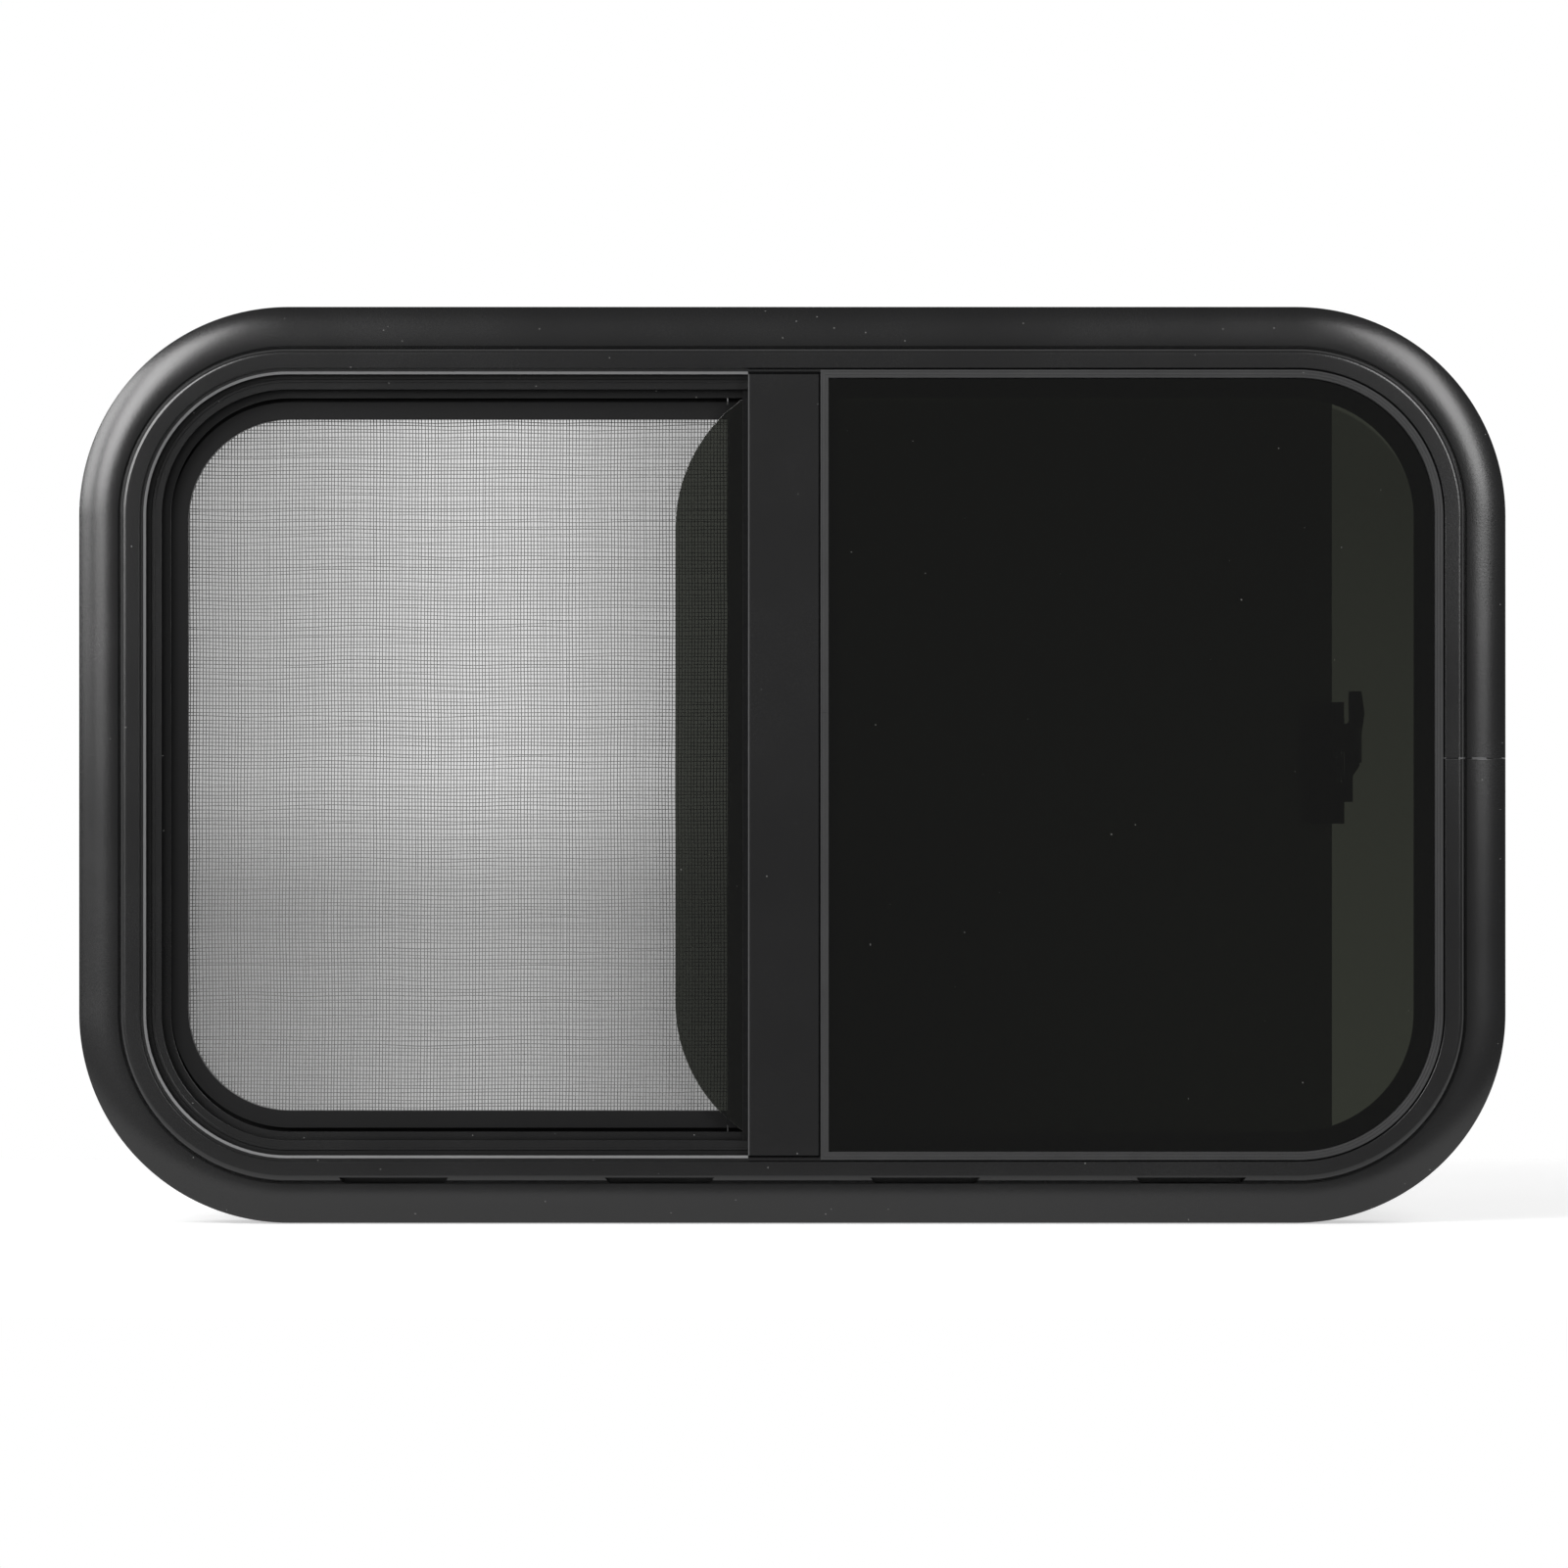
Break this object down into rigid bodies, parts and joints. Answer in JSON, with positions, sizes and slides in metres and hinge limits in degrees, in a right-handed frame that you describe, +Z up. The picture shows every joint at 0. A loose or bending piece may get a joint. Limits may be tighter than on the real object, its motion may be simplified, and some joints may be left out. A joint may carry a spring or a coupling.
{
  "type": "sliding caravan window with insect screen",
  "caption": "Framed sliding caravan window with rounded corners: fixed pane, sliding pane with latch, insect screen and clamp ring.",
  "frame": {"origin": "bottom middle of the outside flange, on the flat rib that bears on the outside of the wall", "axes": "+X along the window's width, to the right seen from outdoors; +Y into the wall, towards indoors; +Z up"},
  "size_m": [0.64, 0.0529, 0.411],
  "materials": {
    "frame_coat": "satin black powder coat",
    "ring_coat": "matt black powder coat",
    "screen_metal": "matt black paint",
    "plate_metal": "dark zinc",
    "screw_metal": "bright zinc",
    "black_screws": "black oxide",
    "seal_rubber": "matt grey rubber",
    "run_rubber": "matt black rubber",
    "pile": "black woven pile",
    "mesh": "grey woven insect mesh",
    "latch_plastic": "matt black moulded",
    "tinted_glass": "dark grey-green safety glass"
  },
  "bodies": {
    "root": {"outer_frame": "frame_coat", "frame_joint_plate": "plate_metal", "frame_joint_screws": "screw_metal", "mullion": "frame_coat", "mullion_pile_seal": "pile", "latch_keeper": "plate_metal", "keeper_rivets": "screw_metal", "fixed_glass": "tinted_glass", "fixed_glass_seal": "seal_rubber", "glass_run_channel": "run_rubber", "run_pile": "pile", "screen_frame": "screen_metal", "screen_stile": "screen_metal", "screen_spline": "run_rubber", "screen_mesh": "mesh", "screen_clips": "latch_plastic", "clamp_ring": "ring_coat", "clamp_screws_top": "black_screws", "clamp_screws_bottom": "black_screws", "clamp_screws_sides": "black_screws"},
    "sash": {"sliding_glass": "tinted_glass", "latch_clip": "latch_plastic", "latch_pin": "screw_metal", "latch_spring": "screw_metal"},
    "lever": {"latch_lever": "latch_plastic"}
  },
  "joints": [
    {"name": "sash_slide", "type": "slide", "parent": "root", "child": "sash", "axis": [1, 0, 0], "range_m": [-0.2385, 0]},
    {"name": "latch_hinge", "type": "hinge", "parent": "sash", "child": "lever", "pos_m": [0.24566, 0.012, 0.2035], "axis": [0, 0, 1], "range_deg": [-24, 8]}
  ]
}
